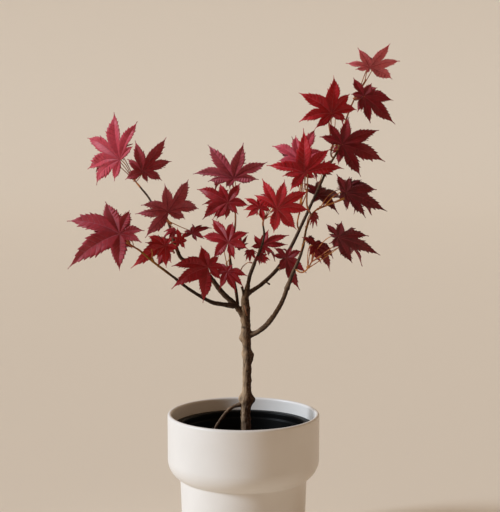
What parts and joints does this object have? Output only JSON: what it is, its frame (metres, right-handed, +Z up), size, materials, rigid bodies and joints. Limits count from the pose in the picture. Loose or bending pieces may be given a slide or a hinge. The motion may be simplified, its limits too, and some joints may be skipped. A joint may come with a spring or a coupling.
{
  "type": "potted maple bonsai",
  "caption": "Small red-leaved maple bonsai with a bare forking trunk, standing in a grow pot inside a white stepped ceramic planter.",
  "frame": {"origin": "centre of the planter's flat underside", "axes": "+Z up the trunk; +X to the right and -Y towards the viewer of the front view"},
  "size_m": [0.3057, 0.1679, 0.4746],
  "materials": {
    "ceramic": "white ceramic with a satin glaze",
    "liner_plastic": "black moulded plastic, slightly glossy",
    "potting_soil": "dark moist potting soil",
    "bark": "grey-brown bark, matt",
    "leaves_crimson": "crimson leaf, thin, slightly waxy",
    "leaves_scarlet": "bright red leaf, thin, slightly waxy",
    "leaves_maroon": "dark maroon leaf, thin, slightly waxy",
    "leaves_rose": "pink-red leaf, thin, slightly waxy"
  },
  "bodies": {
    "root": {"planter": "ceramic", "grow_pot": "liner_plastic", "soil": "potting_soil", "trunk": "bark", "surface_root": "bark", "left_bough": "bark", "far_left_bough": "bark", "inner_bough": "bark", "central_bough": "bark", "right_bough": "bark", "low_right_bough": "bark", "low_right_bough_upper": "bark", "foliage_upper_left": "leaves_rose", "foliage_left": "leaves_crimson", "foliage_middle_left": "leaves_rose", "foliage_lower_left": "leaves_scarlet", "foliage_front_left": "leaves_crimson", "foliage_inner_low": "leaves_crimson", "foliage_inner_top": "leaves_rose", "foliage_centre": "leaves_crimson", "foliage_centre_top": "leaves_scarlet", "foliage_right_low": "leaves_crimson", "foliage_right_side": "leaves_maroon", "foliage_right_outer": "leaves_maroon", "foliage_right_middle": "leaves_scarlet", "foliage_right_inner": "leaves_maroon", "foliage_right_upper": "leaves_scarlet", "foliage_top": "leaves_rose"}
  },
  "joints": []
}
